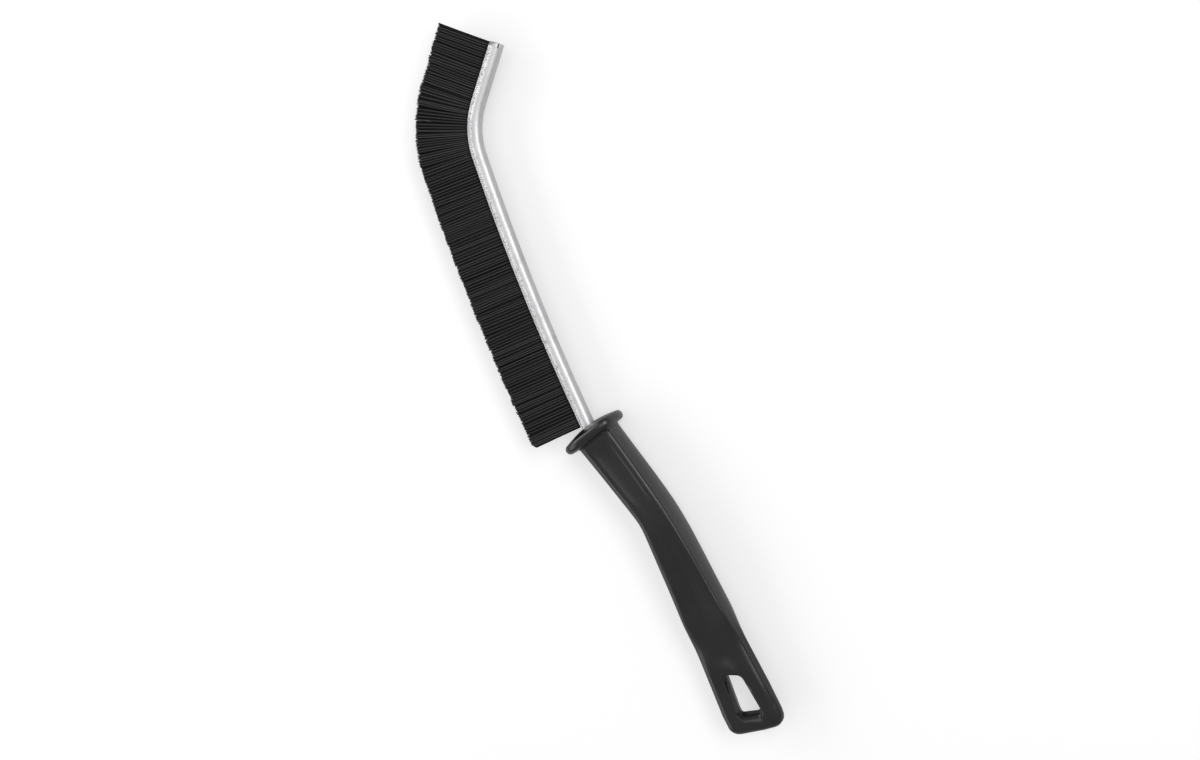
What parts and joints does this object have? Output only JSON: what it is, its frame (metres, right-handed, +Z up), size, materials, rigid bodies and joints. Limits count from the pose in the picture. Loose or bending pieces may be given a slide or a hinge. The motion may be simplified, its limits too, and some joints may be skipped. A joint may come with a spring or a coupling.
{
  "type": "crevice brush",
  "caption": "Long narrow crevice brush: a cranked plastic handle with guard and hanging slot carries a bent metal channel with a comb of short stiff filaments.",
  "frame": {"origin": "centre of the brush's length and width, at the level of the guard's lowest edge, as it lies on its broad side", "axes": "+X along the brush from the butt towards the tip, +Y towards the filaments' side, +Z up through the brush's thickness"},
  "size_m": [0.2856, 0.0566, 0.0196],
  "materials": {
    "handle_plastic": "fine satin moulding",
    "channel_metal": "bright rolled strip",
    "wire_metal": "drawn wire",
    "filament_nylon": "satin filament"
  },
  "bodies": {
    "root": {"handle": "handle_plastic", "channel": "channel_metal", "core_wire": "wire_metal", "bristles_heel": "filament_nylon", "bristles_front": "filament_nylon", "bristles_bend": "filament_nylon", "bristles_tip": "filament_nylon"}
  },
  "joints": []
}
